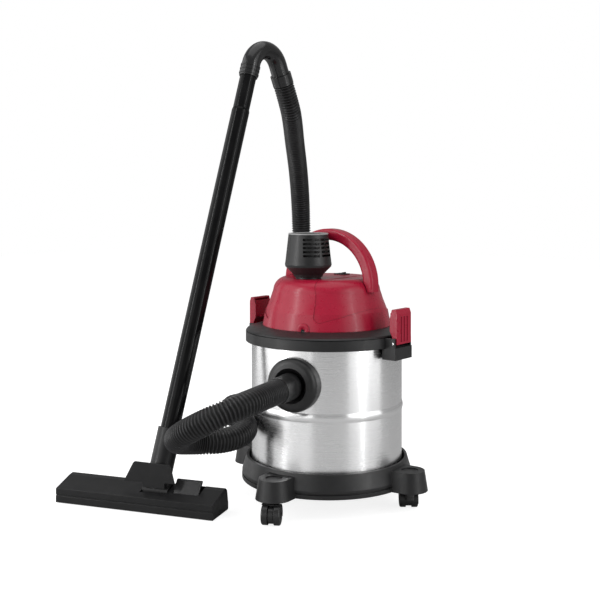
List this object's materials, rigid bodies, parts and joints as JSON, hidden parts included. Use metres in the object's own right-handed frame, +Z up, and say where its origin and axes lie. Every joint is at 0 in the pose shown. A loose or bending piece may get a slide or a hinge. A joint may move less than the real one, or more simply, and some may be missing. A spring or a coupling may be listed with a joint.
{
  "type": "shop vacuum",
  "caption": "Wet and dry canister vacuum: steel drum on a castor dolly, latched motor head with arch handle, corrugated hose, bent grip, straight wand and floor nozzle.",
  "frame": {"origin": "on the floor, under the axis of the drum", "axes": "+Z up, -Y is the side of the hose inlet, the two latches are at +X and -X"},
  "size_m": [0.5828, 0.7059, 0.87],
  "materials": {
    "black_shell": "fine satin texture",
    "red_shell": "satin gloss",
    "tank_steel": "satin brushed",
    "grey_trim": "satin",
    "castor_plastic": "satin",
    "pin_steel": "bright zinc",
    "hose_plastic": "corrugated satin",
    "wand_plastic": "gloss black",
    "nozzle_plastic": "satin",
    "bristle": "bristle",
    "switch_black": "gloss",
    "seal_rubber": "soft",
    "inner_plastic": "moulded",
    "float_plastic": "hollow moulded ball",
    "foam": "open foam",
    "motor_steel": "pressed sheet",
    "fan_alloy": "machined",
    "rotor_iron": "laminations and windings",
    "brush_carbon": "carbon"
  },
  "bodies": {
    "chassis": {"dolly_base": "black_shell", "tank": "tank_steel", "tank_rim_ring": "black_shell", "inlet_flange": "black_shell", "inlet_deflector": "inner_plastic", "inlet_screws": "pin_steel", "latch_bracket_right": "black_shell", "latch_bracket_left": "black_shell", "latch_pin_right": "pin_steel", "latch_pin_left": "pin_steel", "hose_cuff": "black_shell", "suction_hose": "hose_plastic", "hose_handle": "hose_plastic", "wand_upper": "wand_plastic", "wand_lower": "wand_plastic", "nozzle_neck": "nozzle_plastic"},
    "head": {"head_base": "black_shell", "rim_gasket": "seal_rubber", "motor_cover": "red_shell", "carry_handle": "red_shell", "switch_bezel": "black_shell", "blower_port": "black_shell", "motor_plate": "inner_plastic", "motor_gasket": "seal_rubber", "fan_housing": "motor_steel", "motor_frame": "motor_steel", "lower_bearing": "pin_steel", "upper_bearing": "pin_steel", "carbon_brushes": "brush_carbon", "float_cage": "inner_plastic", "foam_filter": "foam", "head_screws": "pin_steel", "cable_gland": "seal_rubber"},
    "motor_armature": {"motor_rotor": "rotor_iron", "motor_shaft": "pin_steel", "impeller": "fan_alloy"},
    "float": {"float_ball": "float_plastic"},
    "diffuser": {"exhaust_diffuser": "black_shell", "diffuser_rim": "grey_trim"},
    "switch_key": {"switch_rocker": "switch_black"},
    "right_latch": {"latch_lever_right": "red_shell"},
    "left_latch": {"latch_lever_left": "red_shell"},
    "nozzle_elbow": {"nozzle_rocker": "nozzle_plastic"},
    "nozzle_head": {"nozzle_housing": "nozzle_plastic", "nozzle_sole": "nozzle_plastic"},
    "nozzle_foot_pedal": {"nozzle_pedal": "nozzle_plastic"},
    "nozzle_brush": {"brush_strips": "bristle"},
    "nozzle_roller_pair": {"nozzle_rollers": "nozzle_plastic"},
    "castor_right_swivel": {"castor_yoke_right": "castor_plastic", "castor_axle_right": "pin_steel"},
    "castor_right_roll": {"castor_wheels_right": "castor_plastic"},
    "castor_rear_swivel": {"castor_yoke_rear": "castor_plastic", "castor_axle_rear": "pin_steel"},
    "castor_rear_roll": {"castor_wheels_rear": "castor_plastic"},
    "castor_left_swivel": {"castor_yoke_left": "castor_plastic", "castor_axle_left": "pin_steel"},
    "castor_left_roll": {"castor_wheels_left": "castor_plastic"},
    "castor_front_swivel": {"castor_yoke_front": "castor_plastic", "castor_axle_front": "pin_steel"},
    "castor_front_roll": {"castor_wheels_front": "castor_plastic"}
  },
  "joints": [
    {"name": "head_lift", "type": "slide", "parent": "chassis", "child": "head", "axis": [0, 0, 1], "range_m": [0, 0.2]},
    {"name": "motor_spin", "type": "hinge", "parent": "head", "child": "motor_armature", "pos_m": [0, 0.006, 0.35], "axis": [0, 0, 1], "continuous": true},
    {"name": "float_rise", "type": "slide", "parent": "head", "child": "float", "axis": [0, 0, 1], "range_m": [0, 0.038]},
    {"name": "diffuser_pull", "type": "slide", "parent": "head", "child": "diffuser", "axis": [0, 0, 1], "range_m": [0, 0.004]},
    {"name": "switch_rock", "type": "hinge", "parent": "head", "child": "switch_key", "pos_m": [-0.005, 0.055, 0.4075], "axis": [0, 1, 0], "range_deg": [0, 14]},
    {"name": "latch_right_open", "type": "hinge", "parent": "chassis", "child": "right_latch", "pos_m": [0.165, 0, 0.301], "axis": [0, 1, 0], "range_deg": [0, 90]},
    {"name": "latch_left_open", "type": "hinge", "parent": "chassis", "child": "left_latch", "pos_m": [-0.165, 0, 0.301], "axis": [0, -1, 0], "range_deg": [0, 90]},
    {"name": "castor_right_turn", "type": "hinge", "parent": "chassis", "child": "castor_right_swivel", "pos_m": [0.17256, 0.01601, 0.05], "axis": [0, 0, 1], "continuous": true},
    {"name": "castor_right_spin", "type": "hinge", "parent": "castor_right_swivel", "child": "castor_right_roll", "pos_m": [0.15778, 0.03492, 0.017], "axis": [-0.788, -0.6157, 0], "continuous": true},
    {"name": "castor_rear_turn", "type": "hinge", "parent": "chassis", "child": "castor_rear_swivel", "pos_m": [-0.01601, 0.17256, 0.05], "axis": [0, 0, 1], "continuous": true},
    {"name": "castor_rear_spin", "type": "hinge", "parent": "castor_rear_swivel", "child": "castor_rear_roll", "pos_m": [-0.03919, 0.16635, 0.017], "axis": [0.2588, -0.9659, 0], "continuous": true},
    {"name": "castor_left_turn", "type": "hinge", "parent": "chassis", "child": "castor_left_swivel", "pos_m": [-0.17256, -0.01601, 0.05], "axis": [0, 0, 1], "continuous": true},
    {"name": "castor_left_spin", "type": "hinge", "parent": "castor_left_swivel", "child": "castor_left_roll", "pos_m": [-0.16242, 0.00574, 0.017], "axis": [-0.9063, 0.4226, 0], "continuous": true},
    {"name": "castor_front_turn", "type": "hinge", "parent": "chassis", "child": "castor_front_swivel", "pos_m": [0.01601, -0.17256, 0.05], "axis": [0, 0, 1], "continuous": true},
    {"name": "castor_front_spin", "type": "hinge", "parent": "castor_front_swivel", "child": "castor_front_roll", "pos_m": [0.02801, -0.19334, 0.017], "axis": [0.866, 0.5, 0], "continuous": true},
    {"name": "nozzle_swivel", "type": "hinge", "parent": "chassis", "child": "nozzle_elbow", "pos_m": [-0.19143, -0.24701, 0.031], "axis": [-0.0571, 0.164, 0.9848], "range_deg": [-40, 40]},
    {"name": "nozzle_tilt", "type": "hinge", "parent": "nozzle_elbow", "child": "nozzle_head", "pos_m": [-0.19143, -0.24701, 0.031], "axis": [0.9444, 0.3289, 0], "range_deg": [-20, 20]},
    {"name": "pedal_press", "type": "hinge", "parent": "nozzle_head", "child": "nozzle_foot_pedal", "pos_m": [-0.13035, -0.23845, 0.031], "axis": [-0.9444, -0.3289, 0], "range_deg": [0, 18]},
    {"name": "brush_drop", "type": "slide", "parent": "nozzle_head", "child": "nozzle_brush", "axis": [0, 0, -1], "range_m": [0, 0.002]},
    {"name": "roller_spin", "type": "hinge", "parent": "nozzle_head", "child": "nozzle_roller_pair", "pos_m": [-0.22757, -0.24054, 0.006], "axis": [0.9444, 0.3289, 0], "continuous": true}
  ],
  "couplings": [
    {"joint": "brush_drop", "follows": "pedal_press", "m_per_rad": 0.00636}
  ]
}
